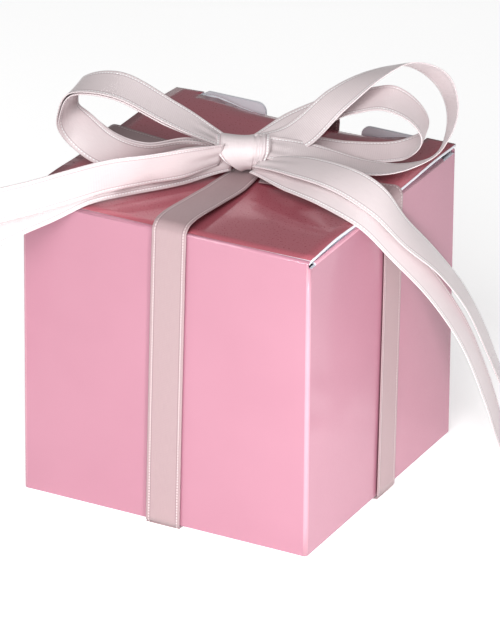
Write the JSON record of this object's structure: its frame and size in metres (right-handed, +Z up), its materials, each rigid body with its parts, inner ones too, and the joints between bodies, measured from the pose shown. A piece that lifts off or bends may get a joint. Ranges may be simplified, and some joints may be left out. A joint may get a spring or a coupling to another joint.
{
  "type": "gift box",
  "caption": "Square folding carton with a hinged tuck-in lid and a snap-lock base, tied with a crossed satin ribbon and a bow.",
  "frame": {"origin": "centre of the underside, on the surface the box stands on", "axes": "+Z up; -Y out of the front panel, which carries the lid's crease; +Y out of the back panel with the thumb notch; +X out of the right panel"},
  "size_m": [0.1327, 0.0995, 0.0687],
  "materials": {
    "pink_board": "gloss-coated pink boxboard, raw white edges",
    "white_board": "uncoated white inside of the board",
    "blush_satin": "pale blush satin ribbon with finely stitched selvedges"
  },
  "bodies": {
    "carton": {"front_panel": "pink_board", "left_panel": "pink_board", "right_panel": "pink_board", "back_panel": "pink_board", "glue_tab": "white_board", "base_front_flap": "white_board", "base_left_flap": "white_board", "base_right_flap": "white_board", "base_rear_flap": "white_board", "ribbon_under_front_back": "blush_satin", "ribbon_under_left": "blush_satin", "ribbon_under_right": "blush_satin"},
    "lid": {"lid_panel": "pink_board"},
    "tuck": {"lid_tuck_flap": "pink_board"},
    "dust_left": {"dust_flap_left": "white_board"},
    "dust_right": {"dust_flap_right": "white_board"},
    "ribbon": {"ribbon_knot": "blush_satin", "ribbon_strap_front": "blush_satin", "ribbon_strap_back": "blush_satin", "ribbon_strap_right": "blush_satin", "ribbon_strap_left": "blush_satin", "bow_loop_left": "blush_satin", "bow_loop_left_lining": "blush_satin", "bow_loop_right_outer": "blush_satin", "bow_loop_right_inner": "blush_satin", "tail_left_front": "blush_satin", "tail_left_rear": "blush_satin", "tail_right_outer": "blush_satin", "tail_right_inner": "blush_satin"}
  },
  "joints": [
    {"name": "lid_hinge", "type": "hinge", "parent": "carton", "child": "lid", "pos_m": [0, -0.02515, 0.05135], "axis": [1, 0, 0], "range_deg": [0, 120]},
    {"name": "lid_tuck_flap_hinge", "type": "hinge", "parent": "lid", "child": "tuck", "pos_m": [0, 0.02425, 0.05135], "axis": [1, 0, 0], "range_deg": [0, 36]},
    {"name": "dust_flap_left_hinge", "type": "hinge", "parent": "carton", "child": "dust_left", "pos_m": [-0.02515, 0, 0.05055], "axis": [0, -1, 0], "range_deg": [0, 34]},
    {"name": "dust_flap_right_hinge", "type": "hinge", "parent": "carton", "child": "dust_right", "pos_m": [0.02515, 0, 0.05055], "axis": [0, 1, 0], "range_deg": [0, 34]},
    {"name": "ribbon_lift", "type": "slide", "parent": "carton", "child": "ribbon", "axis": [0, 0, 1], "range_m": [0, 0.143]}
  ],
  "couplings": [
    {"joint": "lid_tuck_flap_hinge", "follows": "lid_hinge", "ratio": 0.3},
    {"joint": "dust_flap_left_hinge", "follows": "lid_hinge", "ratio": 0.28},
    {"joint": "dust_flap_right_hinge", "follows": "lid_hinge", "ratio": 0.28},
    {"joint": "ribbon_lift", "follows": "lid_hinge", "m_per_rad": 0.068}
  ]
}
